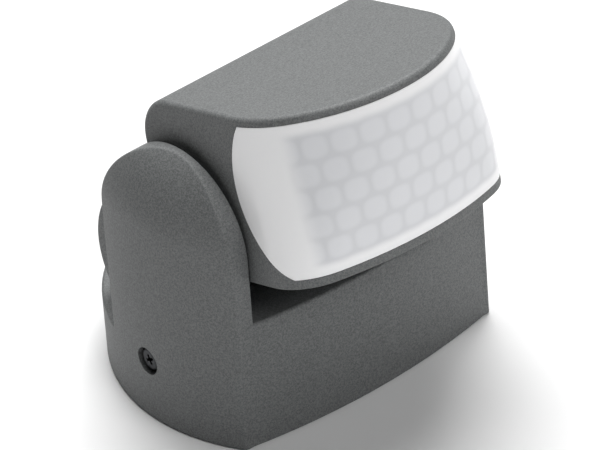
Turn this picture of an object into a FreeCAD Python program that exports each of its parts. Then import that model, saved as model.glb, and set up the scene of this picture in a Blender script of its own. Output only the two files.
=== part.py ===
import FreeCAD, Part
import math
import os

# Wall and ceiling motion sensor: a D-shaped base with two arched cheeks, and a
# tilting detector head that hangs between them on a round drum.
# Millimetres. +Z is away from the mounting face, -Y is the way the lens looks
# and X is the width. The origin is on the mounting face, in the middle plane.

# ---- driving dimensions -------------------------------------------------
WALL = 2.2                    # moulded wall of the base
RUN = 0.05                    # radial clearance of a turning fit

SIDE_R = 48.3                 # plan radius of each side of the base
SIDE_SHIFT = 5.1              # each side's centre lies this far past the middle
BACK_ANGLE = math.radians(60) # where the side arc gives way to the back arc
FASCIA_R = 175.0
FASCIA_Y = -27.4              # foremost point of the fascia
CORNER_R = 2.6
RIM_Z = 0.4                   # the housing's rim stops just off the wall
FLOOR_Z = 32.7                # top of the base in front of the drum
SHELF_Z = 16.5                # top of the base behind the drum
SHOULDER_Z = 52.0             # the cheeks' outer faces round inwards from here up
SHOULDER_R = 22.0

CHEEK_IN = 32.4               # inner face of each cheek
ARCH_Y = -3.4
ARCH_Z = 49.2
ARCH_R = 20.5
EDGE_R = 1.0                  # rounding of the cheeks' outer edges
TOP_EDGE_R = 0.8              # rounding of the base's top edges

PIVOT_Y = 9.5
PIVOT_Z = 30.0
DRUM_R = 21.0
DRUM_HALF = 31.8
DRUM_WALL = 2.4
CRADLE_GAP = 0.6
TILT = 15.2                   # the head's tilt at rest, from level

HEAD_BACK = 2.6               # the head's own numbers are those at no tilt
HEAD_TOP = 74.2
HEAD_BOTTOM = 34.2
HEAD_FRONT = (56.3, 54.8, 50.4)    # how far forward the front reaches: top, middle, bottom
HEAD_HALF = (29.8, 31.2, 31.9)
HEAD_ARC = (31.6, 50.0, 70.0)
HEAD_CORNER = (23.2, 18.0, 13.0)
HEAD_WALL = 2.4
BACK_ROUND = 10.0             # the head's top rolls over into its back
TOP_ROUND = 1.4
TRAY_TOP = 36.5               # parting line between the shell and the tray
TRAY_ROUND = 0.5

LENS_T = 1.0
SEAL_T = 0.5
LENS_END = ((-33.0, 72.3), (-28.5, 57.5), (-40.6, 36.5))    # y and z: top, furthest back, bottom
LENS_BORDER = 3.0

BOSS_Y = -40.0
BOSS_R = 8.9
BOSS_DROP = 2.0
KNOB_R = 2.5
KNOB_RING = 4.8
KNOB_NAMES = ("time_knob", "light_knob", "range_knob")
KNOB_ANGLES = (90, 210, 330)

SCREW_Y = 1.6                 # housing screws, one through each side
SCREW_Z = 15.6
SCREW_HEAD_R = 2.9
SCREW_HOLE_R = 3.4
SCREW_SINK = 2.6

EAR_BACK = 1.8                # wall left under the screw's head
PLATE_T = 2.6
PLATE_GAP = 0.5               # all round between the plate and the housing
SEAL_Z = (1.0, 2.4)
SLOT_SPACING = 52.0           # wall screws
SLOT_Y = -2.0
SLOT_R = 2.25
SLOT_L = 10.0
CABLE_Y = 36.5
CABLE_R = 3.6
GROMMET_R = 6.5

PIN_R = 4.2
FLANGE_R = 5.3
SLEEVE_BORE = 2.4
CLIP_X = 28.25
LEAD_R = 1.3
LEAD_END = 22.0               # the supply lead's bared end, inside the drum

CLAMP_X = 8.0                 # bar that holds the supply cable down
CLAMP_Y = 26.0
CLAMP_Z = 4.2
TERMINAL_W = 21.0             # three-pole terminal block
TERMINAL_D = 9.0
TERMINAL_H = 12.0
TERMINAL_Y = -21.5
TERMINAL_Z = 4.0
TERMINAL_PITCH = 6.6
POLES = (-1, 0, 1)

BOARD_T = 1.6
CARRIER_T = 2.4
SENSOR_Y = -27.0              # face of the sensor board, upright behind the lens
SENSOR_Z = 56.0
SENSOR_SCREW_X = 18.0
SENSOR_SCREW_Z = 64.0
LOW_ROW_X = 14.0              # light sensor and indicator, low on the sensor board
LOW_ROW_Z = 48.0
CONTROL_Z = 44.4              # underside of the control board
POWER_Z = 22.0                # top of the power board, inside the drum
RIBBON_X = (6.0, 16.0)
RIBBON_T = 0.6
RIBBON_Z = 47.0

SHELL_POSTS = ((-25.6, -25.0), (25.6, -25.0), (-25.6, -13.6), (25.6, -13.6))
KNOB_PLACES = [(KNOB_RING * math.cos(math.radians(a)), BOSS_Y + KNOB_RING * math.sin(math.radians(a)))
               for a in KNOB_ANGLES]
CROSS_WIDTH = 0.34            # half width of a cross recess's arm, to its length
FAR = 60.0                    # safely outside the part

X_AXIS = FreeCAD.Vector(1, 0, 0)
Y_AXIS = FreeCAD.Vector(0, 1, 0)
Z_AXIS = FreeCAD.Vector(0, 0, 1)


def vec(x, y, z):
    return FreeCAD.Vector(x, y, z)


# ---- small building blocks ----------------------------------------------
def box(x0, x1, y0, y1, z0, z1):
    return Part.makeBox(x1 - x0, y1 - y0, z1 - z0, vec(x0, y0, z0))


def rod(radius, start, axis, length):
    return Part.makeCylinder(radius, length, start, axis)


def ring(outer, inner, start, axis, length):
    return rod(outer, start, axis, length).cut(rod(inner, start, axis, length))


def join(shapes):
    return shapes[0].multiFuse(shapes[1:]).removeSplitter()


def arc(a, b, c):
    return Part.Arc(a, b, c).toShape()


def turn(shape, angle, centre, axis):
    return shape.rotated(centre, axis, angle)


def tilted(shape):
    return turn(shape, -TILT, vec(0, PIVOT_Y, PIVOT_Z), X_AXIS)


def cross_slot(radius, depth, centre, axis):
    """Cross recess cut down along axis from centre."""
    half = CROSS_WIDTH * radius
    blade = box(-radius, radius, -half, half, 0, depth)
    cross = blade.fuse(blade.rotated(vec(0, 0, 0), Z_AXIS, 90))
    cross.Placement = FreeCAD.Placement(centre, FreeCAD.Rotation(Z_AXIS, axis)).multiply(cross.Placement)
    return cross


def screw(head_top, axis, head_r, head_h, shank_r, length):
    """Pan-head screw. head_top is the middle of its face, axis points into the work."""
    body = join([rod(head_r, head_top, axis, head_h),
                 rod(shank_r, head_top + axis * head_h, axis, length)])
    rim = [e for e in body.Edges
           if abs(e.Length - 2 * math.pi * head_r) < 0.01
           and (e.CenterOfMass - head_top).Length < 0.01]
    body = body.makeFillet(0.25 * head_h, rim)
    return body.cut(cross_slot(0.62 * head_r, 0.6 * head_h, head_top, axis))


# ---- plan of the base ---------------------------------------------------
def circle_meet(c0, r0, c1, r1, sign):
    """Meeting point of two circles in the plan, the one on the side given by sign."""
    dx = c1[0] - c0[0]
    dy = c1[1] - c0[1]
    d = math.hypot(dx, dy)
    a = (r0 * r0 - r1 * r1 + d * d) / (2 * d)
    h = math.sqrt(r0 * r0 - a * a)
    return (c0[0] + (a * dx - sign * h * dy) / d, c0[1] + (a * dy + sign * h * dx) / d)


def plan_prism(inset, z0, z1):
    """The D-shaped plan drawn in by inset, extruded from z0 to z1."""
    side = SIDE_R - inset
    fascia = FASCIA_R - inset
    fascia_c = FASCIA_Y + FASCIA_R
    back_c = SIDE_SHIFT * math.tan(BACK_ANGLE)
    back = SIDE_R - SIDE_SHIFT / math.cos(BACK_ANGLE) - inset
    right = circle_meet((-SIDE_SHIFT, 0), side, (0, fascia_c), fascia, -1)
    start = math.atan2(right[1], right[0] + SIDE_SHIFT)
    mid = 0.5 * (start + BACK_ANGLE)

    def on_side(angle, sign):
        return vec(sign * (side * math.cos(angle) - SIDE_SHIFT), side * math.sin(angle), z0)

    front = vec(0, fascia_c - fascia, z0)
    rear = vec(0, back_c + back, z0)
    edges = [arc(on_side(start, -1), front, on_side(start, 1)),
             arc(on_side(start, 1), on_side(mid, 1), on_side(BACK_ANGLE, 1)),
             arc(on_side(BACK_ANGLE, 1), rear, on_side(BACK_ANGLE, -1)),
             arc(on_side(BACK_ANGLE, -1), on_side(mid, -1), on_side(start, -1))]
    prism = Part.Face(Part.Wire(edges)).extrude(vec(0, 0, z1 - z0))
    corners = [e for e in prism.Edges
               if abs(e.BoundBox.ZLength - (z1 - z0)) < 0.01
               and e.BoundBox.XLength < 0.01
               and e.CenterOfMass.y < FASCIA_Y / 2]
    return prism.makeFillet(max(CORNER_R - inset, 0.6), corners)


def pod_prism(z1):
    """The plan from the rim up to z1, with its top edge rounded."""
    prism = plan_prism(0, RIM_Z, z1)
    top = [e for e in prism.Edges if e.BoundBox.ZMin > z1 - 0.01]
    return prism.makeFillet(TOP_EDGE_R, top)


def side_body(inset, sign):
    """Turned body that one side of the base is cut from: upright, then a round shoulder."""
    radius = SIDE_R - inset
    shoulder = SHOULDER_R - inset
    top = ARCH_Z + ARCH_R + 0.5 - inset
    rise = top - SHOULDER_Z
    half_angle = 0.5 * math.asin(rise / shoulder)

    def on_shoulder(angle):
        return vec(radius - shoulder + shoulder * math.cos(angle), 0,
                   SHOULDER_Z + shoulder * math.sin(angle))

    start = vec(radius, 0, SHOULDER_Z)
    end = on_shoulder(2 * half_angle)
    edges = [Part.makeLine(vec(0, 0, RIM_Z - inset), vec(radius, 0, RIM_Z - inset)),
             Part.makeLine(vec(radius, 0, RIM_Z - inset), start),
             arc(start, on_shoulder(half_angle), end),
             Part.makeLine(end, vec(0, 0, top)),
             Part.makeLine(vec(0, 0, top), vec(0, 0, RIM_Z - inset))]
    body = Part.Face(Part.Wire(edges)).revolve(vec(0, 0, 0), Z_AXIS, 360)
    return body.translated(vec(-sign * SIDE_SHIFT, 0, 0))


def arch(inset, x0, x1):
    """Side outline of a cheek, between x0 and x1: a round top on a straight post."""
    radius = ARCH_R - inset
    top = rod(radius, vec(x0, ARCH_Y, ARCH_Z), X_AXIS, x1 - x0)
    post = box(x0, x1, ARCH_Y - radius, ARCH_Y + radius, RIM_Z - inset, ARCH_Z)
    return join([top, post])


def cheek(inset, sign):
    inner = CHEEK_IN + inset
    x0, x1 = sorted((sign * inner, sign * FAR))
    return side_body(inset, sign).common(arch(inset, x0, x1))


def rounded_cheek(sign):
    body = cheek(0, sign)
    outline = [e for e in body.Edges
               if abs(e.CenterOfMass.x) > CHEEK_IN + 1.0
               and e.BoundBox.ZMax > RIM_Z + 1.0
               and on_arch(e)]
    return body.makeFillet(EDGE_R, outline)


def on_arch(edge):
    """True for an edge that lies on the cheek's side outline."""
    middle = edge.valueAt(0.5 * (edge.FirstParameter + edge.LastParameter))
    if middle.z < ARCH_Z:
        return abs(abs(middle.y - ARCH_Y) - ARCH_R) < 0.01
    return abs(math.hypot(middle.y - ARCH_Y, middle.z - ARCH_Z) - ARCH_R) < 0.01


def base_outer():
    front = pod_prism(FLOOR_Z).common(box(-FAR, FAR, -FAR, PIVOT_Y, 0, FLOOR_Z))
    rear = pod_prism(SHELF_Z)
    outer = join([front, rear, rounded_cheek(1), rounded_cheek(-1)])
    cradle = rod(DRUM_R + CRADLE_GAP, vec(-CHEEK_IN, PIVOT_Y, PIVOT_Z), X_AXIS, 2 * CHEEK_IN)
    return outer.cut(cradle)


def base_cavity():
    inner = CHEEK_IN + WALL
    front = plan_prism(WALL, RIM_Z - 1, FLOOR_Z - WALL)
    front = front.common(box(-FAR, FAR, -FAR, PIVOT_Y - WALL, -1, FLOOR_Z))
    rear = plan_prism(WALL, RIM_Z - 1, SHELF_Z - WALL)
    cradle = rod(DRUM_R + CRADLE_GAP + WALL, vec(-inner, PIVOT_Y, PIVOT_Z), X_AXIS, 2 * inner)
    return join([front.fuse(rear).cut(cradle), cheek(WALL, 1), cheek(WALL, -1)])


def base_housing():
    shell = base_outer().cut(base_cavity())
    side_x = SIDE_R - SIDE_SHIFT
    ear_face = side_x - SCREW_SINK - EAR_BACK
    cuts = []
    bosses = []
    for sign in (1, -1):
        out = vec(sign, 0, 0)
        bosses.append(rod(SCREW_HOLE_R + 1.6, vec(sign * ear_face, SCREW_Y, SCREW_Z), out, SCREW_SINK))
        cuts.append(rod(SCREW_HOLE_R, vec(sign * (side_x - SCREW_SINK), SCREW_Y, SCREW_Z), out, 10))
        cuts.append(rod(1.7, vec(sign * (ear_face - 1), SCREW_Y, SCREW_Z), out, 10))
        cuts.append(rod(PIN_R, vec(sign * (CHEEK_IN - 1), PIVOT_Y, PIVOT_Z), out, WALL + 2))
    shell = shell.multiFuse(bosses)
    return shell.cut(Part.makeCompound(cuts)).removeSplitter()


# ---- base: plate, seal, fasteners, terminals ----------------------------
def mounting_plate():
    plate = plan_prism(WALL + PLATE_GAP, 0, PLATE_T)
    side_x = SIDE_R - SIDE_SHIFT - SCREW_SINK - EAR_BACK - 0.3
    ears = []
    cuts = []
    for sign in (1, -1):
        x0, x1 = sorted((sign * side_x, sign * (side_x - 3.4)))
        ears.append(box(x0, x1, SCREW_Y - 4.5, SCREW_Y + 4.5, 0, SCREW_Z + 4))
        cuts.append(rod(1.3, vec(sign * (side_x + 1), SCREW_Y, SCREW_Z), vec(-sign, 0, 0), 8))
        reach = SLOT_L / 2 - SLOT_R
        mid = sign * SLOT_SPACING / 2
        cuts += [rod(SLOT_R, vec(mid - reach, SLOT_Y, -1), Z_AXIS, 6),
                 rod(SLOT_R, vec(mid + reach, SLOT_Y, -1), Z_AXIS, 6),
                 box(mid - reach, mid + reach, SLOT_Y - SLOT_R, SLOT_Y + SLOT_R, -1, 5)]
    cuts.append(rod(GROMMET_R - 1.2, vec(0, CABLE_Y, -1), Z_AXIS, 6))
    for x in (-CLAMP_X, CLAMP_X):
        ears.append(rod(2.6, vec(x, CLAMP_Y, PLATE_T), Z_AXIS, CLAMP_Z - PLATE_T))
        cuts.append(rod(0.9, vec(x, CLAMP_Y, PLATE_T), Z_AXIS, 20))
    ears.append(box(-TERMINAL_W / 2 - 2, TERMINAL_W / 2 + 2, TERMINAL_Y - 1, TERMINAL_Y + TERMINAL_D + 1,
                    PLATE_T, TERMINAL_Z))
    return join([plate] + ears).cut(Part.makeCompound(cuts))


def plate_seal():
    outer = plan_prism(WALL + 0.1, SEAL_Z[0], SEAL_Z[1])
    return outer.cut(plan_prism(WALL + PLATE_GAP, 0, PLATE_T + 1))


def housing_screws():
    face = SIDE_R - SIDE_SHIFT - 0.8
    return [screw(vec(sign * face, SCREW_Y, SCREW_Z), vec(-sign, 0, 0), SCREW_HEAD_R, 1.75, 1.25, 5.6)
            for sign in (1, -1)]


def cable_grommet():
    lower = ring(GROMMET_R - 1.25, CABLE_R, vec(0, CABLE_Y, 0.3), Z_AXIS, PLATE_T - 0.3)
    flange = ring(GROMMET_R, CABLE_R, vec(0, CABLE_Y, PLATE_T), Z_AXIS, 1.6)
    neck = ring(GROMMET_R - 1.6, CABLE_R, vec(0, CABLE_Y, PLATE_T + 1.6), Z_AXIS, 3.0)
    return join([lower, flange, neck])


def cable_clamp():
    bar = box(-CLAMP_X - 2.6, CLAMP_X + 2.6, CLAMP_Y - 2, CLAMP_Y + 2, CLAMP_Z, CLAMP_Z + 1.4)
    holes = [rod(1.2, vec(x, CLAMP_Y, 0), Z_AXIS, 20) for x in (-CLAMP_X, CLAMP_X)]
    return bar.cut(Part.makeCompound(holes))


def clamp_screws():
    top = CLAMP_Z + 2.6
    down = vec(0, 0, -1)
    return [screw(vec(x, CLAMP_Y, top), down, 1.9, 1.2, 0.85, 2.8) for x in (-CLAMP_X, CLAMP_X)]


def terminal_block():
    half = TERMINAL_W / 2
    body = box(-half, half, TERMINAL_Y, TERMINAL_Y + TERMINAL_D, TERMINAL_Z, TERMINAL_Z + TERMINAL_H)
    cuts = []
    for pole in POLES:
        x = pole * TERMINAL_PITCH
        mid_y = TERMINAL_Y + TERMINAL_D / 2
        cuts.append(rod(1.9, vec(x, mid_y, TERMINAL_Z + 8), Z_AXIS, 9))
        cuts.append(box(x - 2.2, x + 2.2, TERMINAL_Y + 1.2, TERMINAL_Y + TERMINAL_D + 1,
                        TERMINAL_Z + 2, TERMINAL_Z + 8))
    return body.cut(Part.makeCompound(cuts))


def terminal_cages():
    cages = []
    for pole in POLES:
        x = pole * TERMINAL_PITCH
        cage = box(x - 2.1, x + 2.1, TERMINAL_Y + 1.3, TERMINAL_Y + TERMINAL_D - 1,
                   TERMINAL_Z + 2.1, TERMINAL_Z + 7.9)
        cage = cage.cut(box(x - 1.4, x + 1.4, TERMINAL_Y, TERMINAL_Y + TERMINAL_D,
                            TERMINAL_Z + 2.9, TERMINAL_Z + 6.6))
        cages.append(cage.cut(rod(1.25, vec(x, TERMINAL_Y + TERMINAL_D / 2, TERMINAL_Z + 5), Z_AXIS, 9)))
    return cages


def terminal_screws():
    y = TERMINAL_Y + TERMINAL_D / 2
    top = TERMINAL_Z + TERMINAL_H - 0.8
    down = vec(0, 0, -1)
    return [screw(vec(pole * TERMINAL_PITCH, y, top), down, 1.75, 1.4, 1.15, 4.0) for pole in POLES]


# ---- base: the pivots on which the head turns ---------------------------
def pivot_outer(sign):
    flange = rod(FLANGE_R, vec(sign * (CHEEK_IN + WALL), PIVOT_Y, PIVOT_Z), vec(sign, 0, 0), 1.6)
    inner_end = DRUM_HALF - DRUM_WALL - 2.2
    shank = rod(PIN_R - 0.01, vec(sign * inner_end, PIVOT_Y, PIVOT_Z), vec(sign, 0, 0),
                CHEEK_IN + WALL - inner_end)
    groove = ring(PIN_R + 1, PIN_R - 0.8, vec(sign * CLIP_X, PIVOT_Y, PIVOT_Z), vec(sign, 0, 0), 0.9)
    return join([flange, shank]).cut(groove)


def pivot_sleeve():
    bore = rod(SLEEVE_BORE, vec(-40, PIVOT_Y, PIVOT_Z), X_AXIS, 20)
    return pivot_outer(-1).cut(bore)


def pivot_pin():
    recess = rod(2.4, vec(20, PIVOT_Y, PIVOT_Z), X_AXIS, 13)
    return pivot_outer(1).cut(recess)


def pivot_clips():
    clips = []
    for sign in (-1, 1):
        start = vec(sign * (CLIP_X + 0.05), PIVOT_Y, PIVOT_Z)
        clip = ring(PIN_R + 2.2, PIN_R - 0.75, start, vec(sign, 0, 0), 0.8)
        clips.append(clip.cut(box(-40, 40, PIVOT_Y - 2.4, PIVOT_Y + 2.4, PIVOT_Z - 12, PIVOT_Z)))
    return clips


def friction_washers():
    inner = DRUM_HALF + 0.05
    thickness = CHEEK_IN - inner
    return [ring(PIN_R + 3.8, PIN_R + 0.1, vec(sign * inner, PIVOT_Y, PIVOT_Z), vec(sign, 0, 0), thickness)
            for sign in (-1, 1)]


def rounded_path(points, radii):
    """Straight runs joined by tangent arcs, one radius for each inner point."""
    edges = []
    last = points[0]
    for before, here, after, radius in zip(points, points[1:], points[2:], radii):
        into = (here - before).normalize()
        out = (after - here).normalize()
        turn_angle = into.getAngle(out)
        back = radius * math.tan(turn_angle / 2)
        start = here - into * back
        end = here + out * back
        inwards = (out - into).normalize()
        depth = radius / math.cos(turn_angle / 2) - radius
        edges += [Part.makeLine(last, start), arc(start, here + inwards * depth, end)]
        last = end
    edges.append(Part.makeLine(last, points[-1]))
    return Part.Wire(edges)


def supply_lead():
    plane = -(CHEEK_IN + WALL + 3.0)
    points = [vec(-TERMINAL_W / 2, TERMINAL_Y + TERMINAL_D / 2, TERMINAL_Z + 5),
              vec(-24, TERMINAL_Y + TERMINAL_D / 2, TERMINAL_Z + 5),
              vec(-35, -12.5, TERMINAL_Z + 9),
              vec(plane, -10, PIVOT_Z - 6),
              vec(plane, PIVOT_Y - 7, PIVOT_Z),
              vec(plane, PIVOT_Y, PIVOT_Z),
              vec(-LEAD_END, PIVOT_Y, PIVOT_Z)]
    path = rounded_path(points, (10, 6, 6, 12, 2.8))
    start = points[0]
    profile = Part.Wire(Part.makeCircle(LEAD_R, start, points[1] - start))
    return path.makePipeShell([profile], True, False)


# ---- head: outer form ---------------------------------------------------
def between(values, z):
    """Value at height z of a smooth curve through the top, middle and bottom values."""
    u = (HEAD_TOP - z) / (HEAD_TOP - HEAD_BOTTOM)
    top, mid, low = values
    return top * (1 - u) * (1 - 2 * u) + mid * 4 * u * (1 - u) + low * u * (2 * u - 1)


def head_section(z, inset):
    """Outline of the head at height z, drawn in by inset: flat back, bowed front."""
    half = between(HEAD_HALF, z) - inset
    front_y = -(between(HEAD_FRONT, z) - inset)
    front_r = between(HEAD_ARC, z) - inset
    corner_r = between(HEAD_CORNER, z) - inset
    back_left = vec(-half, HEAD_BACK - inset, z)
    back_right = vec(half, HEAD_BACK - inset, z)
    cx = half - corner_r
    front_c = front_y + front_r
    cy = front_c - math.sqrt((front_r - corner_r) ** 2 - cx ** 2)
    swing = math.atan2(front_c - cy, cx)

    def corner(angle, sign):
        return vec(sign * (cx + corner_r * math.cos(angle)), cy - corner_r * math.sin(angle), z)

    return Part.Wire([
        Part.makeLine(back_left, back_right),
        Part.makeLine(back_right, corner(0, 1)),
        arc(corner(0, 1), corner(swing / 2, 1), corner(swing, 1)),
        arc(corner(swing, 1), vec(0, front_y, z), corner(swing, -1)),
        arc(corner(swing, -1), corner(swing / 2, -1), corner(0, -1)),
        Part.makeLine(corner(0, -1), back_left)])


def head_block(inset, z0, z1):
    sections = [head_section(z, inset) for z in (z1, 0.5 * (z0 + z1), z0)]
    return Part.makeLoft(sections, True, False)


def rolled_back(inset):
    """Everything below the head's top and before its back, with the round edge between them."""
    radius = BACK_ROUND - inset
    top = HEAD_TOP - inset
    block = box(-FAR, FAR, -80, HEAD_BACK - inset, 0, top)
    edge = [e for e in block.Edges
            if e.BoundBox.YMin > HEAD_BACK - inset - 0.01 and e.BoundBox.ZMin > top - 0.01]
    return block.makeFillet(radius, edge)


def drum(radius, half):
    return rod(radius, vec(-half, PIVOT_Y, PIVOT_Z), X_AXIS, 2 * half)


def lens_region(inset):
    """Side outline of the lens, extruded across the head; its rear edge bows back."""
    (y0, z0), (y1, z1), (y2, z2) = LENS_END
    a = vec(-FAR, y0 - inset, z0 - inset)
    b = vec(-FAR, y1 - inset, z1)
    c = vec(-FAR, y2 - inset, z2 + inset)
    low_front = vec(-FAR, -80, z2 + inset)
    top_front = vec(-FAR, -80, z0 - inset)
    edges = [arc(a, b, c),
             Part.makeLine(c, low_front),
             Part.makeLine(low_front, top_front),
             Part.makeLine(top_front, a)]
    return Part.Face(Part.Wire(edges)).extrude(vec(2 * FAR, 0, 0))


def head_shell():
    outer = head_block(0, TRAY_TOP, HEAD_TOP).common(rolled_back(0))
    rim = [e for e in outer.Edges if e.BoundBox.ZMin > HEAD_TOP - 0.01 and e.BoundBox.YLength > 1]
    outer = outer.makeFillet(TOP_ROUND, rim)
    cavity = head_block(HEAD_WALL, TRAY_TOP - 1, HEAD_TOP - HEAD_WALL).common(rolled_back(HEAD_WALL))
    shell = outer.cut(cavity)
    shell = shell.cut(drum(DRUM_R + 0.05, 40))
    seat = lens_region(0).cut(head_block(LENS_T + SEAL_T, TRAY_TOP - 1, HEAD_TOP))
    shell = shell.cut(seat).cut(lens_region(LENS_BORDER))
    posts = []
    for x, y in SHELL_POSTS:
        post = rod(3.0, vec(x, y, TRAY_TOP), Z_AXIS, HEAD_TOP - HEAD_WALL - TRAY_TOP)
        posts.append(post.cut(rod(1.1, vec(x, y, TRAY_TOP - 1), Z_AXIS, 13)))
    return join([shell] + posts)


def lens():
    skin = head_block(0.02, TRAY_TOP, HEAD_TOP).cut(head_block(LENS_T, TRAY_TOP - 1, HEAD_TOP))
    return skin.common(lens_region(0.1))


def lens_seal():
    outer = head_block(LENS_T + 0.02, TRAY_TOP - 1, HEAD_TOP)
    skin = outer.cut(head_block(LENS_T + SEAL_T, TRAY_TOP - 1, HEAD_TOP))
    return skin.common(lens_region(0.3)).cut(lens_region(LENS_BORDER - 0.4))


def head_tray():
    """Underside of the head and the drum it turns on, in one moulding."""
    slab = head_block(0, HEAD_BOTTOM, TRAY_TOP - 0.02)
    rim = [e for e in slab.Edges if e.BoundBox.ZMax < HEAD_BOTTOM + 0.01]
    slab = slab.makeFillet(TRAY_ROUND, rim)
    boss = rod(BOSS_R, vec(0, BOSS_Y, HEAD_BOTTOM - BOSS_DROP), Z_AXIS, BOSS_DROP + 0.5)
    shell = join([slab, drum(DRUM_R, DRUM_HALF), boss])
    inner = drum(DRUM_R - DRUM_WALL, DRUM_HALF - DRUM_WALL)
    opening = head_block(HEAD_WALL + 1.2, PIVOT_Z + 6.8, HEAD_TOP).cut(box(-40, 40, -60, -9.2, 0, 80))
    cuts = [inner, opening]
    cuts.append(rod(PIN_R + RUN, vec(-40, PIVOT_Y, PIVOT_Z), X_AXIS, 80))
    cuts.append(rod(BOSS_R - 1.3, vec(0, BOSS_Y, HEAD_BOTTOM - BOSS_DROP - 1), Z_AXIS, BOSS_DROP))
    for x, y in KNOB_PLACES:
        cuts.append(rod(1.35, vec(x, y, HEAD_BOTTOM - 3), Z_AXIS, 8))
    for x, y in SHELL_POSTS:
        cuts.append(rod(1.35, vec(x, y, HEAD_BOTTOM - 1), Z_AXIS, 4))
        cuts.append(rod(2.4, vec(x, y, HEAD_BOTTOM - 1), Z_AXIS, 1.9))
    return shell.cut(Part.makeCompound(cuts)).removeSplitter()


def head_screws():
    face = HEAD_BOTTOM + 0.15
    return [screw(vec(x, y, face), Z_AXIS, 2.25, 0.72, 1.05, 9.0) for x, y in SHELL_POSTS]


def knob(x, y):
    """Slotted setting knob: a disc under the tray and a shaft up to its trimmer."""
    face = HEAD_BOTTOM - BOSS_DROP + 0.2
    disc = rod(KNOB_R, vec(x, y, face), Z_AXIS, 0.75)
    shaft = rod(1.3, vec(x, y, face + 0.75), Z_AXIS, 7.0)
    slot = box(x - 2.0, x + 2.0, y - 0.35, y + 0.35, face - 0.1, face + 0.4)
    return join([disc, shaft]).cut(slot)


# ---- head: electronics --------------------------------------------------
def sensor_board():
    board = box(-21, 21, SENSOR_Y, SENSOR_Y + BOARD_T, 43.5, 67)
    holes = [rod(1.3, vec(x, SENSOR_Y - 1, SENSOR_SCREW_Z), Y_AXIS, 4)
             for x in (-SENSOR_SCREW_X, SENSOR_SCREW_X)]
    return board.cut(Part.makeCompound(holes))


def board_screws():
    return [screw(vec(x, SENSOR_Y - 1.4, SENSOR_SCREW_Z), Y_AXIS, 2.2, 1.4, 1.1, 5.5)
            for x in (-SENSOR_SCREW_X, SENSOR_SCREW_X)]


def board_carrier():
    """Upright frame that holds the sensor board behind the lens."""
    near = SENSOR_Y + BOARD_T
    frame = box(-22.3, 22.3, near, near + CARRIER_T, TRAY_TOP, 68.5)
    window = box(-14, 14, SENSOR_Y, SENSOR_Y + 6, 46, 60.5)
    holes = [rod(1.15, vec(x, SENSOR_Y, SENSOR_SCREW_Z), Y_AXIS, 9)
             for x in (-SENSOR_SCREW_X, SENSOR_SCREW_X)]
    return frame.cut(Part.makeCompound([window] + holes))


def pir_detector():
    can = rod(4.1, vec(0, SENSOR_Y, SENSOR_Z), vec(0, -1, 0), 4.2)
    flange = rod(4.6, vec(0, SENSOR_Y, SENSOR_Z), vec(0, -1, 0), 0.6)
    window = box(-2.2, 2.2, SENSOR_Y - 5, SENSOR_Y - 4.0, SENSOR_Z - 1.7, SENSOR_Z + 1.7)
    return join([can, flange]).cut(window)


def pir_window():
    return box(-2.2, 2.2, SENSOR_Y - 4.2, SENSOR_Y - 4.0, SENSOR_Z - 1.7, SENSOR_Z + 1.7)


def light_sensor():
    return rod(2.5, vec(LOW_ROW_X, SENSOR_Y, LOW_ROW_Z), vec(0, -1, 0), 2.2)


def indicator_led():
    base = rod(1.5, vec(-LOW_ROW_X, SENSOR_Y, LOW_ROW_Z), vec(0, -1, 0), 3.0)
    return join([base, Part.makeSphere(1.5, vec(-LOW_ROW_X, SENSOR_Y - 3.0, LOW_ROW_Z))])


def signal_chip():
    return box(-5, 5, SENSOR_Y - 1.6, SENSOR_Y, 45.5, 49.5)


def control_board():
    board = box(-11, 11, BOSS_Y - 7, BOSS_Y + 10.5, CONTROL_Z, CONTROL_Z + 1.2)
    legs = [box(x, x + 1.6, BOSS_Y + 8.6, BOSS_Y + 10.2, TRAY_TOP, CONTROL_Z) for x in (-10.6, 9.0)]
    holes = [rod(1.4, vec(x, y, 40), Z_AXIS, 8) for x, y in KNOB_PLACES]
    return join([board] + legs).cut(Part.makeCompound(holes))


def trimmers():
    bodies = []
    for x, y in KNOB_PLACES:
        body = box(x - 3.2, x + 3.2, y - 3.2, y + 3.2, CONTROL_Z - 3.0, CONTROL_Z)
        bodies.append(body.cut(rod(1.36, vec(x, y, 40), Z_AXIS, 6)))
    return bodies


def power_board():
    board = box(-26, 26, PIVOT_Y - 14, PIVOT_Y + 14, POWER_Z - BOARD_T, POWER_Z)
    rails = []
    for sign in (-1, 1):
        x0, x1 = sorted((sign * 29.3, sign * 26.0))
        rails.append(box(x0, x1, PIVOT_Y - 10, PIVOT_Y - 4, POWER_Z - BOARD_T, POWER_Z))
    return join([board] + rails)


def relay():
    body = box(2, 21, PIVOT_Y - 7.8, PIVOT_Y + 7.8, POWER_Z, POWER_Z + 15)
    edges = [e for e in body.Edges if e.BoundBox.ZLength > 10]
    return body.makeFillet(0.8, edges)


def film_capacitor():
    body = box(-13, -7, PIVOT_Y - 13, PIVOT_Y + 5, POWER_Z, POWER_Z + 11)
    edges = [e for e in body.Edges if e.BoundBox.ZLength > 10]
    return body.makeFillet(0.6, edges)


def smoothing_capacitor():
    start = vec(-2.6, PIVOT_Y - 6, POWER_Z)
    can = rod(3.1, start, Z_AXIS, 10.5)
    return can.cut(ring(4, 2.85, start + vec(0, 0, 1.6), Z_AXIS, 0.7))


def varistor():
    return rod(3.6, vec(-2.0, PIVOT_Y + 8, POWER_Z + 4.2), X_AXIS, 2.6)


def fuse():
    return rod(2.1, vec(-20.5, PIVOT_Y - 11, POWER_Z + 2.2), Y_AXIS, 9)


def lead_connector():
    return box(-24.6, -16.6, PIVOT_Y + 0.5, PIVOT_Y + 8, POWER_Z, POWER_Z + 5)


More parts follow.
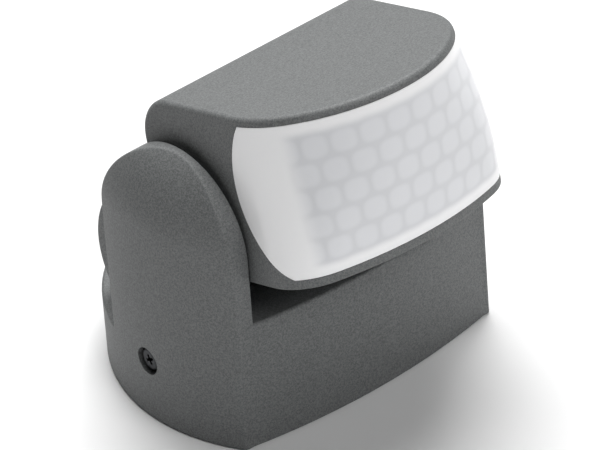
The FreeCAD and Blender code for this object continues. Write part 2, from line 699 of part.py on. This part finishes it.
def board_link():
    """Flat ribbon from the power board up to the sensor board's carrier."""
    x0, x1 = RIBBON_X
    front = HEAD_BACK - 6.0
    board_edge = PIVOT_Y - 9
    rise = POWER_Z + 15.6
    carrier = SENSOR_Y + BOARD_T + CARRIER_T
    return join([box(x0, x1, front - RIBBON_T, front, rise, RIBBON_Z),
                 box(x0, x1, carrier, front, RIBBON_Z, RIBBON_Z + RIBBON_T),
                 box(x0, x1, front - RIBBON_T, board_edge, rise, rise + RIBBON_T),
                 box(x0, x1, board_edge - RIBBON_T, board_edge, POWER_Z, rise + RIBBON_T)])


# ---- writing the parts ---------------------------------------------------
def write(name, shapes, in_head):
    solids = shapes if isinstance(shapes, list) else [shapes]
    solids = [tilted(s) if in_head else s for s in solids]
    loose = [part for s in solids for part in s.Solids]
    shape = loose[0] if len(loose) == 1 else Part.makeCompound(loose)
    shape.exportStep("parts/%s.step" % name)
    print("%-20s solids %d volume %9.1f %s" % (name, len(loose), shape.Volume, shape.isValid()))


BASE_PARTS = (base_housing, mounting_plate, plate_seal, housing_screws, cable_grommet, cable_clamp,
              clamp_screws, terminal_block, terminal_cages, terminal_screws, pivot_sleeve, pivot_pin,
              pivot_clips, friction_washers, supply_lead)
HEAD_PARTS = (head_shell, head_tray, lens, lens_seal, head_screws, sensor_board, board_screws,
              board_carrier, pir_detector, pir_window, light_sensor, indicator_led, signal_chip,
              control_board, trimmers, power_board, relay, film_capacitor, smoothing_capacitor,
              varistor, fuse, lead_connector, board_link)

os.makedirs("parts", exist_ok=True)
for make in BASE_PARTS:
    write(make.__name__, make(), False)
for make in HEAD_PARTS:
    write(make.__name__, make(), True)
for name, place in zip(KNOB_NAMES, KNOB_PLACES):
    write(name, knob(*place), True)
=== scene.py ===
import math

import bmesh
import bpy
from mathutils import Matrix, Vector


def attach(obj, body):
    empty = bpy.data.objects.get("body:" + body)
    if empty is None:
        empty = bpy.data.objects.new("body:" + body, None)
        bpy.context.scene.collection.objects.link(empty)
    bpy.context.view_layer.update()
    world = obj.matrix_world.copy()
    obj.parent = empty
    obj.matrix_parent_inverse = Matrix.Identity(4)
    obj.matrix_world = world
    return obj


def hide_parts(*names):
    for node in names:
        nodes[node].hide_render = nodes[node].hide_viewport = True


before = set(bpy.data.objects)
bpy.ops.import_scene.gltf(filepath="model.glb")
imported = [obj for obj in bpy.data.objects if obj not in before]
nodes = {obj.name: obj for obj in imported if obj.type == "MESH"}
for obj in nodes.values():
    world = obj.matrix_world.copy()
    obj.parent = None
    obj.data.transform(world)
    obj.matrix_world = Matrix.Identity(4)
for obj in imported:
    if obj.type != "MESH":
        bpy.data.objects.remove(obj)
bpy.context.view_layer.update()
MM = 0.001


# ---- camera ---------------------------------------------------------------
# A long lens well back from the sensor, above it and off to the -X side of its
# front, rolled a few degrees.
CAMERA_AZIMUTH = math.radians(38.925)
CAMERA_ELEVATION = math.radians(34.118)
CAMERA_ROLL = math.radians(-4.387)
CAMERA_DISTANCE = 1.383
CAMERA_LENS = 366.7
CAMERA_AIM = Vector((0.002387, 0.0, 0.030585))

look = Vector((math.sin(CAMERA_AZIMUTH) * math.cos(CAMERA_ELEVATION),
               math.cos(CAMERA_AZIMUTH) * math.cos(CAMERA_ELEVATION),
               -math.sin(CAMERA_ELEVATION)))
level = Vector((math.cos(CAMERA_AZIMUTH), -math.sin(CAMERA_AZIMUTH), 0.0))
upright = level.cross(look)
right = level * math.cos(CAMERA_ROLL) + upright * math.sin(CAMERA_ROLL)
up = upright * math.cos(CAMERA_ROLL) - level * math.sin(CAMERA_ROLL)
camera_data = bpy.data.cameras.new("camera")
camera_data.lens = CAMERA_LENS
camera_data.sensor_width = 36.0
camera_data.clip_end = 20.0
camera = bpy.data.objects.new("camera", camera_data)
bpy.context.scene.collection.objects.link(camera)
camera.matrix_world = Matrix.Translation(CAMERA_AIM - look * CAMERA_DISTANCE) @ Matrix(
    (right, up, -look)).transposed().to_4x4()
bpy.context.scene.camera = camera


# ---- floor and studio light -------------------------------------------------
# A pale matt sweep, a soft box overhead on the right, a weaker one high in
# front and a low one on the left, so that the sides stay darker than the top.
def hex_linear(code):
    """An sRGB colour such as "4a4d4f" as the linear RGBA that a shader takes."""
    channels = [int(code[i:i + 2], 16) / 255 for i in (0, 2, 4)]
    return tuple(c / 12.92 if c <= 0.04045 else ((c + 0.055) / 1.055) ** 2.4 for c in channels) + (1.0,)


def add_node(tree, kind, links=None, **settings):
    """A node with its settings; links gives its inputs, as values or as sockets to join."""
    node = tree.nodes.new(kind)
    for name, value in settings.items():
        setattr(node, name, value)
    for name, value in (links or {}).items():
        if isinstance(value, bpy.types.NodeSocket):
            tree.links.new(value, node.inputs[name])
        else:
            node.inputs[name].default_value = value
    return node


def new_material(name, **sockets):
    """A material's tree and its shader, with the shader's own sockets set."""
    material = bpy.data.materials.new(name)
    material.use_nodes = True
    shader = material.node_tree.nodes["Principled BSDF"]
    for socket, value in sockets.items():
        shader.inputs[socket.replace("_", " ")].default_value = value
    return material, material.node_tree, shader


FLOOR_HALF = 3.0

bpy.ops.object.select_all(action="DESELECT")
bpy.ops.mesh.primitive_plane_add(size=2 * FLOOR_HALF, location=(0, 0, 0))
floor = bpy.context.object
floor.name = "floor"
paper, tree, shader = new_material("matt_paper_sweep", Roughness=0.9)
grain = add_node(tree, "ShaderNodeTexNoise", {"Scale": 30.0, "Detail": 3.0,
                 "Vector": add_node(tree, "ShaderNodeTexCoord").outputs["Object"]})
ramp = add_node(tree, "ShaderNodeMix", {"Factor": grain.outputs["Fac"], "A": hex_linear("e6e6e6"),
                "B": hex_linear("eaeaea")}, data_type="RGBA")
tree.links.new(ramp.outputs["Result"], shader.inputs["Base Color"])
floor.data.materials.append(paper)


def area_light(name, place, aim, width, height, power):
    lamp = bpy.data.lights.new(name, "AREA")
    lamp.shape = "RECTANGLE"
    lamp.size = width
    lamp.size_y = height
    lamp.energy = power
    lamp_object = bpy.data.objects.new(name, lamp)
    bpy.context.scene.collection.objects.link(lamp_object)
    lamp_object.location = place
    lamp_object.rotation_euler = (Vector(place) - Vector(aim)).to_track_quat("Z", "Y").to_euler()


area_light("overhead_box", (0.3, 0.4, 1.05), (0, 0, 0.04), 0.9, 0.9, 22.5)
area_light("front_fill", (0.0, -1.1, 1.0), (0, 0, 0.04), 0.8, 0.5, 9.0)
area_light("left_low_fill", (-1.2, 0.3, 0.09), (0, 0, 0.02), 0.15, 0.5, 1.2)
world = bpy.data.worlds.new("studio")
world.use_nodes = True
world.node_tree.nodes["Background"].inputs["Color"].default_value = (1.0, 1.0, 1.0, 1.0)
world.node_tree.nodes["Background"].inputs["Strength"].default_value = 0.03
bpy.context.scene.world = world
bpy.context.scene.view_settings.view_transform = "Standard"


# ---- base housing -----------------------------------------------------------
# One injection-moulded ASA shell in anthracite grey, with a spark-eroded finish.
# It drops over the mounting plate and carries the head between two arched cheeks.
MERGE_MM = 0.002
GRAIN_MM = 0.28
BROAD_GRAINS = 1.7
HOUSING_SMOOTH_ANGLE = math.radians(28)


def object_coords(tree, mm_per_unit=1.0):
    """Object coordinates counted in steps of so many millimetres."""
    coords = add_node(tree, "ShaderNodeTexCoord")
    step = 1.0 / (mm_per_unit * MM)
    return add_node(tree, "ShaderNodeMapping", {"Vector": coords.outputs["Object"],
                    "Scale": (step, step, step)}).outputs["Vector"]


def smooth_copy(node, name, body):
    """A merged, smooth-shaded copy of a CAD node's mesh that stands for it."""
    mesh = nodes[node].data.copy()
    mesh.name = name
    piece = bpy.data.objects.new(name, mesh)
    bpy.context.scene.collection.objects.link(piece)
    bpy.ops.object.select_all(action="DESELECT")
    bpy.context.view_layer.objects.active = piece
    piece.select_set(True)
    if mesh.has_custom_normals:
        bpy.ops.mesh.customdata_custom_splitnormals_clear()
    bpy.ops.object.mode_set(mode="EDIT")
    bpy.ops.mesh.select_all(action="SELECT")
    bpy.ops.mesh.remove_doubles(threshold=MERGE_MM * MM)
    bpy.ops.object.mode_set(mode="OBJECT")
    bpy.ops.object.shade_smooth_by_angle(angle=HOUSING_SMOOTH_ANGLE)
    weighted = piece.modifiers.new("even_faces", "WEIGHTED_NORMAL")
    weighted.keep_sharp = True
    weighted.weight = 100
    bpy.ops.object.modifier_apply(modifier=weighted.name)
    mesh.materials.clear()
    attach(piece, body)
    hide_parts(node)
    return piece


def moulded_finish(name, colour, fleck, rough, grain_mm, depth_mm, metallic=0.0):
    """Two close tones mixed by a fine and a broad grain, with the fine one in relief."""
    material, tree, shader = new_material(name, Roughness=rough, Metallic=metallic)
    fine = add_node(tree, "ShaderNodeTexNoise", {"Vector": object_coords(tree, grain_mm), "Scale": 1.0,
                    "Detail": 2.0, "Roughness": 0.6})
    broad = add_node(tree, "ShaderNodeTexNoise", {"Vector": object_coords(tree, BROAD_GRAINS * grain_mm),
                     "Scale": 1.0, "Detail": 3.0, "Roughness": 0.65})
    tone = add_node(tree, "ShaderNodeMath", {0: fine.outputs["Fac"], 1: broad.outputs["Fac"]},
                    operation="ADD")
    spread = add_node(tree, "ShaderNodeMapRange", {"Value": tone.outputs[0], "From Min": 0.82,
                      "From Max": 1.18})
    grey = add_node(tree, "ShaderNodeMix", {"Factor": spread.outputs["Result"], "A": hex_linear(colour),
                    "B": hex_linear(fleck)}, data_type="RGBA")
    bump = add_node(tree, "ShaderNodeBump", {"Height": fine.outputs["Fac"], "Strength": 0.6,
                    "Distance": depth_mm * MM})
    tree.links.new(grey.outputs["Result"], shader.inputs["Base Color"])
    tree.links.new(bump.outputs["Normal"], shader.inputs["Normal"])
    return material


# ASA moulded against spark-eroded steel: a dull skin of fine pits in two close
# greys. The real pits are finer; they are drawn as coarse as it takes to show.
anthracite_asa = moulded_finish("anthracite_spark_eroded_asa", "535555", "707272", 0.6, GRAIN_MM, 0.09)
base_shell = smooth_copy("base_housing", "base_shell", "base")
base_shell.data.materials.append(anthracite_asa)


# ---- mounting plate, seal and cable entry -------------------------------------
# A flat glass-filled nylon plate screws to the wall through two slots. A foam
# strip seals it to the housing, and a soft rubber grommet takes the cable.
def finish(node, material):
    """Gives a CAD node, whose shape stays as it is, its material."""
    slots = nodes[node].material_slots
    if not slots:
        nodes[node].data.materials.append(material)
    for slot in slots:
        slot.material = material


# Glass-filled nylon: charcoal, slightly mottled by the fibres near its skin.
glass_filled_nylon = moulded_finish("glass_filled_nylon", "2b2d2e", "424547", 0.5, 0.9, 0.03)
finish("mounting_plate", glass_filled_nylon)
# Closed-cell EPDM foam: matt black with a skin of burst cells.
epdm_foam = moulded_finish("closed_cell_epdm_foam", "151515", "262626", 0.92, 0.35, 0.15)
finish("plate_seal", epdm_foam)
finish("lens_seal", epdm_foam)
# Soft TPE, black and satin, with the faint bloom of moulded rubber.
soft_tpe = moulded_finish("soft_black_tpe", "1b1b1c", "2a2a2b", 0.66, 1.4, 0.02)
finish("cable_grommet", soft_tpe)
finish("cable_clamp", glass_filled_nylon)


# ---- housing screws --------------------------------------------------------------
# Black-passivated steel pan-head screws with a cross recess, sunk in a round
# hole in each side; they hold the housing to the ears of the mounting plate.
SCREW_PLACE = Vector((42.4, 1.6, 15.6)) * MM
SCREW_HEAD_R = 2.9
SCREW_HEAD_H = 1.75
SCREW_SHANK_R = 1.25
SCREW_LENGTH = 5.6
THREAD_PITCH = 0.7
RECESS_ARM = 1.75
RECESS_HALF_WIDTH = 0.45
RECESS_DEPTH = 1.1
CREST = 1.18
CREASE_ANGLE = math.radians(35)
SCREW_TURN = math.radians(28)


def start_edit(piece):
    bpy.ops.object.select_all(action="DESELECT")
    bpy.context.view_layer.objects.active = piece
    piece.select_set(True)
    bpy.ops.object.mode_set(mode="EDIT")
    bpy.ops.mesh.select_all(action="DESELECT")


def select_faces(piece, test):
    """Selects the faces whose centre and normal pass the test, in edit mode."""
    mesh = bmesh.from_edit_mesh(piece.data)
    bpy.ops.mesh.select_all(action="DESELECT")
    bpy.ops.mesh.select_mode(type="FACE")
    for face in mesh.faces:
        face.select_set(test(face.calc_center_median(), face.normal))
    bmesh.update_edit_mesh(piece.data)


def end_edit():
    bpy.ops.object.mode_set(mode="OBJECT")


def add_cylinder(name, sides, radius, depth, place):
    bpy.ops.object.select_all(action="DESELECT")
    bpy.ops.mesh.primitive_cylinder_add(vertices=sides, radius=radius, depth=depth, location=place)
    piece = bpy.context.object
    piece.name = name
    bpy.ops.object.transform_apply(location=True, rotation=True, scale=True)
    return piece


def apply_modifier(piece, kind, **settings):
    bpy.ops.object.select_all(action="DESELECT")
    bpy.context.view_layer.objects.active = piece
    piece.select_set(True)
    modifier = piece.modifiers.new(kind.lower(), kind)
    for name, value in settings.items():
        setattr(modifier, name, value)
    bpy.ops.object.modifier_apply(modifier=modifier.name)


def place_mesh(piece, matrix):
    """Puts a piece that was modelled at the origin in its place, in its mesh."""
    piece.data.transform(matrix)
    piece.data.update()


def cross_screw(name):
    """The screw, head up on +Z with its face at the origin."""
    screw = add_cylinder(name, 48, SCREW_HEAD_R * MM, SCREW_HEAD_H * MM, (0, 0, -SCREW_HEAD_H / 2 * MM))
    start_edit(screw)
    select_faces(screw, lambda centre, normal: normal.z > 0.9)
    bpy.ops.mesh.bevel(offset=0.75 * MM, segments=5, profile=0.5, affect="EDGES")
    select_faces(screw, lambda centre, normal: normal.z < -0.9)
    bpy.ops.mesh.inset(thickness=(SCREW_HEAD_R - SCREW_SHANK_R) * MM)
    half_pitch = {"value": (0, 0, -THREAD_PITCH / 2 * MM)}
    for turn_count in range(int(SCREW_LENGTH / THREAD_PITCH)):
        bpy.ops.mesh.extrude_region_move(TRANSFORM_OT_translate=half_pitch)
        bpy.ops.transform.resize(value=(CREST, CREST, 1.0))
        bpy.ops.mesh.extrude_region_move(TRANSFORM_OT_translate=half_pitch)
        bpy.ops.transform.resize(value=(1 / CREST, 1 / CREST, 1.0))
    end_edit()
    for angle in (0.0, math.pi / 2):
        bpy.ops.object.select_all(action="DESELECT")
        bpy.ops.mesh.primitive_cube_add(size=1.0, location=(0, 0, 0))
        wing = bpy.context.object
        wing.scale = (2 * RECESS_ARM * MM, 2 * RECESS_HALF_WIDTH * MM, 2 * RECESS_DEPTH * MM)
        bpy.ops.object.transform_apply(location=True, rotation=True, scale=True)
        start_edit(wing)
        select_faces(wing, lambda centre, normal: normal.z < -0.9)
        bpy.ops.transform.resize(value=(0.45, 0.55, 1.0))
        end_edit()
        place_mesh(wing, Matrix.Rotation(angle, 4, "Z"))
        apply_modifier(screw, "BOOLEAN", object=wing, operation="DIFFERENCE", solver="EXACT")
        bpy.data.objects.remove(wing)
    bpy.ops.object.select_all(action="DESELECT")
    screw.select_set(True)
    bpy.context.view_layer.objects.active = screw
    bpy.ops.object.shade_smooth_by_angle(angle=CREASE_ANGLE)
    return screw


# Steel under black zinc passivation: dark, half-bright, with a fine mottling.
black_zinc = moulded_finish("black_passivated_zinc", "17181a", "2c2e31", 0.34, 0.5, 0.01, metallic=0.85)
left_screw = cross_screw("housing_screw_left")
right_screw = left_screw.copy()
right_screw.data = left_screw.data.copy()
right_screw.name = "housing_screw_right"
bpy.context.scene.collection.objects.link(right_screw)
for piece, side in ((left_screw, -1), (right_screw, 1)):
    spot = Vector((side * SCREW_PLACE.x, SCREW_PLACE.y, SCREW_PLACE.z))
    out = Matrix.Rotation(side * math.pi / 2, 4, "Y") @ Matrix.Rotation(SCREW_TURN, 4, "Z")
    place_mesh(piece, Matrix.Translation(spot) @ out)
    piece.data.materials.append(black_zinc)
    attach(piece, "base")
    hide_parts("housing_screws")


# ---- terminals and supply lead ---------------------------------------------------
# A white polyamide block with three brass cages and zinc-plated steel screws;
# a silicone-sheathed lead runs from it through the hollow pivot into the head.
# Polyamide 66 in natural white, faintly cloudy.
natural_nylon = moulded_finish("natural_white_nylon", "cfccc2", "e2dfd5", 0.45, 2.2, 0.01)
finish("terminal_block", natural_nylon)
finish("lead_connector", natural_nylon)
# Drawn brass, dull yellow and faintly mottled.
drawn_brass = moulded_finish("drawn_brass", "b0924a", "c8ab62", 0.32, 0.6, 0.01, metallic=1.0)
finish("terminal_cages", drawn_brass)
# Bright zinc on steel: cool, slightly crystalline silver.
bright_zinc = moulded_finish("bright_zinc_plated_steel", "a9adb0", "c6cacd", 0.3, 0.7, 0.01, metallic=1.0)
for node in ("terminal_screws", "clamp_screws", "board_screws"):
    finish(node, bright_zinc)
# Silicone sheath, matt grey with a powdery bloom.
silicone_sheath = moulded_finish("grey_silicone_sheath", "6a6c6e", "7d7f81", 0.7, 1.2, 0.01)
finish("supply_lead", silicone_sheath)


# ---- pivots ---------------------------------------------------------------------------
# A hollow sleeve and a solid pin in black acetal, one in each cheek, held by
# sprung clips inside the drum, with a grey friction washer on each.
# Acetal copolymer: dense black with a low waxy sheen.
black_acetal = moulded_finish("black_acetal", "19191a", "242425", 0.38, 1.6, 0.01)
finish("pivot_sleeve", black_acetal)
finish("pivot_pin", black_acetal)
# Phosphated spring steel: dark grey, crystalline and dry.
spring_steel = moulded_finish("phosphated_spring_steel", "4b4c4d", "626466", 0.5, 0.3, 0.02, metallic=0.9)
finish("pivot_clips", spring_steel)
# Graphite-filled washer: satin grey with dark specks.
graphite_washer = moulded_finish("graphite_filled_washer", "55575a", "6c6f72", 0.55, 0.5, 0.02)
finish("friction_washers", graphite_washer)


# ---- head shell ---------------------------------------------------------------
# The upper moulding of the head in the same spark-finished ASA, open towards the
# front where the lens snaps in; four screws from below pull it to the tray.
head_cover = smooth_copy("head_shell", "head_cover", "head")
head_cover.data.materials.append(anthracite_asa)


# ---- tray and drum --------------------------------------------------------------
# Underside of the head and the drum that turns in the cradle, one moulding in
# the same ASA, with a collar for the setting knobs and four counterbored screws.
tray_and_drum = smooth_copy("head_tray", "tray_and_drum", "head")
tray_and_drum.data.materials.append(anthracite_asa)
finish("head_screws", black_zinc)


# ---- lens -------------------------------------------------------------------------
# A one-millimetre sheet of milk-white polyethylene, moulded with rows of small
# Fresnel facets on its inner face and snapped into the front of the head.
TILT = math.radians(15.2)
PIVOT_Y = 9.5
PIVOT_Z = 30.0
PIVOT = Vector((0, PIVOT_Y, PIVOT_Z)) * MM
FACET_W = 6.6
FACET_H = 5.9
BORDER_H = 3.2
LENS_CENTRE_Y = -4.8
LENS_RADIUS = 50.0
LENS_LOW = 36.5
LENS_HIGH = 72.3
FACET_HALF_ANGLE = math.radians(33)
CLOUD_MM = 9.0

lens_sheet = smooth_copy("lens", "lens_sheet", "head")
# Milk-white HDPE: light spreads inside the sheet, and the shading of the facets behind it
# is painted into its colour: soft rounded cells with painted shade at their greyer joints, inside a plain
# and whiter border.
def math_node(tree, operation, *values, clamp=False):
    return add_node(tree, "ShaderNodeMath", dict(enumerate(values)), operation=operation,
                    use_clamp=clamp).outputs[0]


milk_pe, tree, shader = new_material("milk_white_polyethylene", Roughness=0.3, IOR=1.53)
shader.inputs["Subsurface Weight"].default_value = 0.25
shader.inputs["Subsurface Radius"].default_value = (1.0, 1.0, 1.0)
shader.inputs["Subsurface Scale"].default_value = 0.8 * MM
coords = add_node(tree, "ShaderNodeTexCoord")
centred = add_node(tree, "ShaderNodeVectorMath", {0: coords.outputs["Object"], 1: PIVOT},
                   operation="SUBTRACT")
level_head = add_node(tree, "ShaderNodeVectorRotate", {"Vector": centred.outputs[0], "Angle": TILT},
                      rotation_type="X_AXIS")
parts = add_node(tree, "ShaderNodeSeparateXYZ", {"Vector": level_head.outputs[0]})
ahead = math_node(tree, "SUBTRACT", (LENS_CENTRE_Y - PIVOT_Y) * MM, parts.outputs["Y"])
angle = math_node(tree, "ARCTAN2", parts.outputs["X"], ahead)
# Columns count across the arc and rows up the sheet; every other row is offset.
rows = math_node(tree, "DIVIDE", math_node(tree, "SUBTRACT", parts.outputs["Z"],
                 (LENS_LOW + BORDER_H - PIVOT_Z) * MM), FACET_H * MM)
odd = math_node(tree, "MODULO", math_node(tree, "FLOOR", rows), 2.0)
columns = math_node(tree, "ADD", math_node(tree, "MULTIPLY", angle, LENS_RADIUS / FACET_W),
                    math_node(tree, "MULTIPLY", odd, 0.5))


def from_middle(count):
    """How far a count is from the middle of its own cell: 0 there, 1 at the joint."""
    part = math_node(tree, "FRACT", math_node(tree, "ADD", count, 20.0))
    offset = math_node(tree, "ABSOLUTE", math_node(tree, "SUBTRACT", part, 0.5))
    return math_node(tree, "MULTIPLY", offset, 2.0)


# A rounded square: the cubes of the two distances add up to one at its edge.
rim = math_node(tree, "ADD", math_node(tree, "POWER", from_middle(rows), 3.0),
                math_node(tree, "POWER", from_middle(columns), 3.0))
# The cell mask is painted light: 1 in each facet's middle, falling to painted shade at its joints.
cell = add_node(tree, "ShaderNodeMapRange", {"Value": rim, "From Min": 0.15, "From Max": 1.0,
                "To Min": 1.0, "To Max": 0.0}, interpolation_type="SMOOTHSTEP").outputs["Result"]
# The facets fade out towards the ends and towards the top and bottom borders.
across = add_node(tree, "ShaderNodeMapRange", {"Value": math_node(tree, "ABSOLUTE", angle),
                  "From Min": FACET_HALF_ANGLE - 0.05, "From Max": FACET_HALF_ANGLE + 0.05,
                  "To Min": 1.0, "To Max": 0.0}, interpolation_type="SMOOTHSTEP").outputs["Result"]
row_count = (LENS_HIGH - LENS_LOW - 2 * BORDER_H) / FACET_H
from_centre_row = math_node(tree, "ABSOLUTE", math_node(tree, "SUBTRACT", rows, row_count / 2))
upward = add_node(tree, "ShaderNodeMapRange", {"Value": from_centre_row, "From Min": row_count / 2 - 0.1,
                  "From Max": row_count / 2 + 0.3, "To Min": 1.0, "To Max": 0.0},
                  interpolation_type="SMOOTHSTEP").outputs["Result"]
field = math_node(tree, "MULTIPLY", across, upward)
cloud = add_node(tree, "ShaderNodeTexNoise", {"Vector": object_coords(tree, CLOUD_MM), "Scale": 1.0,
                 "Detail": 1.0})
# Painted facet shading: the cells lighter in their middles and greyer at the joints, with a faint cloud
# of random tone; the plain border is left whiter.
shade = math_node(tree, "ADD", math_node(tree, "MULTIPLY", cell, 0.75),
                  math_node(tree, "MULTIPLY", cloud.outputs["Fac"], 0.25), clamp=True)
painted_facet_shading = add_node(tree, "ShaderNodeMix", {"Factor": shade, "A": hex_linear("d9dadd"),
                   "B": hex_linear("e5e6e9")}, data_type="RGBA")
white = add_node(tree, "ShaderNodeMix", {"Factor": field, "A": hex_linear("fbfbfc"),
                 "B": painted_facet_shading.outputs["Result"]}, data_type="RGBA")
tree.links.new(white.outputs["Result"], shader.inputs["Base Color"])
lens_sheet.data.materials.append(milk_pe)


# ---- setting knobs -------------------------------------------------------------------
# Three slotted nylon knobs in the collar under the head, for time, light level
# and range. Each has a knurled rim and a shaft that turns its trimmer.
KNOB_R = 2.5
KNOB_T = 0.75
KNOB_FACE = 32.4
KNOB_RING = 4.8
KNOB_CENTRE_Y = -40.0
SHAFT_R = 1.3
SHAFT_LENGTH = 7.0
KNURLS = 20
SLOT_LENGTH = 3.6
SLOT_WIDTH = 0.7
SLOT_DEPTH = 0.45


def setting_knob(name):
    """The knob with its face down on the origin and its shaft up +Z."""
    knob = add_cylinder(name, 2 * KNURLS, KNOB_R * MM, KNOB_T * MM, (0, 0, KNOB_T / 2 * MM))
    start_edit(knob)
    select_faces(knob, lambda centre, normal: abs(normal.z) < 0.1
                 and round(math.atan2(centre.y, centre.x) * KNURLS / math.pi - 0.5) % 2 == 0)
    bpy.ops.mesh.inset(thickness=0.07 * MM, use_individual=True)
    bpy.ops.transform.resize(value=(0.955, 0.955, 1.0), center_override=(0, 0, 0))
    select_faces(knob, lambda centre, normal: normal.z < -0.9)
    bpy.ops.mesh.inset(thickness=0.35 * MM)
    bpy.ops.transform.translate(value=(0, 0, 0.12 * MM))
    select_faces(knob, lambda centre, normal: normal.z > 0.9)
    bpy.ops.mesh.inset(thickness=(KNOB_R - SHAFT_R) * MM)
    bpy.ops.mesh.extrude_region_move(TRANSFORM_OT_translate={"value": (0, 0, SHAFT_LENGTH * MM)})
    bpy.ops.mesh.inset(thickness=0.15 * MM)
    end_edit()
    bpy.ops.object.select_all(action="DESELECT")
    bpy.ops.mesh.primitive_cube_add(size=1.0, location=(0, 0, 0))
    blade = bpy.context.object
    blade.scale = (SLOT_LENGTH * MM, SLOT_WIDTH * MM, 2 * SLOT_DEPTH * MM)
    bpy.ops.object.transform_apply(location=True, rotation=True, scale=True)
    apply_modifier(knob, "BOOLEAN", object=blade, operation="DIFFERENCE", solver="EXACT")
    bpy.data.objects.remove(blade)
    bpy.ops.object.select_all(action="DESELECT")
    knob.select_set(True)
    bpy.context.view_layer.objects.active = knob
    bpy.ops.object.shade_smooth_by_angle(angle=CREASE_ANGLE)
    return knob


# Nylon 6 in pale grey, satin, so that the slots read against the dark tray.
grey_nylon = moulded_finish("pale_grey_nylon", "8c9092", "a0a4a6", 0.42, 1.0, 0.02)
head_tilt = Matrix.Translation(PIVOT) @ Matrix.Rotation(-TILT, 4, "X") @ Matrix.Translation(-PIVOT)
first_knob = setting_knob("time_dial")
knobs = {"time_knob": (first_knob, 90)}
for node, name, angle in (("light_knob", "light_dial", 210), ("range_knob", "range_dial", 330)):
    knob = first_knob.copy()
    knob.data = first_knob.data.copy()
    knob.name = name
    bpy.context.scene.collection.objects.link(knob)
    knobs[node] = (knob, angle)
for node, (knob, angle) in knobs.items():
    spot = Vector((KNOB_RING * math.cos(math.radians(angle)),
                   KNOB_CENTRE_Y + KNOB_RING * math.sin(math.radians(angle)), KNOB_FACE)) * MM
    place_mesh(knob, head_tilt @ Matrix.Translation(spot))
    knob.data.materials.append(grey_nylon)
    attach(knob, node)
    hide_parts(node)


# ---- boards and their parts ------------------------------------------------------------
# Three glass-epoxy boards: sensing behind the lens, controls over the tray and
# power inside the drum, with their parts soldered on and a flat ribbon between.
def board_finish():
    """Green solder mask over glass epoxy, with paler copper tracks under it every 2.5 mm."""
    material, tree, shader = new_material("green_solder_mask_on_glass_epoxy", Roughness=0.35)
    tracks = add_node(tree, "ShaderNodeTexBrick", {"Vector": object_coords(tree, 2.54), "Scale": 1.0,
                      "Mortar Size": 0.12, "Mortar Smooth": 0.3, "Brick Width": 2.0, "Row Height": 1.0,
                      "Color1": hex_linear("1d5a3a"), "Color2": hex_linear("1a5236"),
                      "Mortar": hex_linear("3f8a5c")})
    tree.links.new(tracks.outputs["Color"], shader.inputs["Base Color"])
    return material


solder_mask = board_finish()
for node in ("sensor_board", "control_board", "power_board"):
    finish(node, solder_mask)
finish("board_carrier", glass_filled_nylon)
# Nickel-plated can of the detector: bright, slightly warm.
nickel_can = moulded_finish("nickel_plated_steel", "b5b0a6", "cbc6bc", 0.22, 0.8, 0.005, metallic=1.0)
finish("pir_detector", nickel_can)
# Coated silicon window: almost black, glossy.
silicon_window = moulded_finish("coated_silicon", "14161c", "1f222b", 0.12, 2.0, 0.002)
finish("pir_window", silicon_window)
finish("light_sensor", silicon_window)
# Red-tinted clear epoxy, dark while it is off.
red_epoxy = moulded_finish("red_tinted_epoxy", "8c120e", "a81a14", 0.15, 1.5, 0.002)
finish("indicator_led", red_epoxy)
# Black moulding compound, sandy and matt.
moulding_compound = moulded_finish("black_moulding_compound", "1c1c1d", "2c2c2d", 0.6, 0.25, 0.02)
finish("signal_chip", moulding_compound)
# Blue thermoset of the trimmers and the varistor's dipped coat.
blue_thermoset = moulded_finish("blue_thermoset", "1f4f96", "2b60aa", 0.4, 0.8, 0.01)
finish("trimmers", blue_thermoset)
finish("varistor", blue_thermoset)
# Relay case: black polyester, slightly glossy.
black_polyester = moulded_finish("black_polyester_case", "202122", "2b2c2e", 0.4, 1.2, 0.01)
finish("relay", black_polyester)
# Film capacitor's case: amber-yellow polypropylene.
yellow_case = moulded_finish("yellow_polypropylene_case", "c8a032", "d6b046", 0.42, 1.5, 0.01)
finish("film_capacitor", yellow_case)
# Heat-shrunk PET sleeve over the electrolytic can.
pet_sleeve = moulded_finish("dark_blue_pet_sleeve", "1c2438", "28324a", 0.3, 1.8, 0.005)
finish("smoothing_capacitor", pet_sleeve)
# Ceramic fuse body: off-white and chalky.
fuse_ceramic = moulded_finish("white_steatite", "cfcabd", "ded9cc", 0.5, 0.5, 0.01)
finish("fuse", fuse_ceramic)
# Flat ribbon: pale grey PVC, faintly uneven over its conductors.
ribbon_pvc = moulded_finish("grey_ribbon_pvc", "9a9c9e", "acaeb0", 0.5, 1.27, 0.03)
finish("board_link", ribbon_pvc)
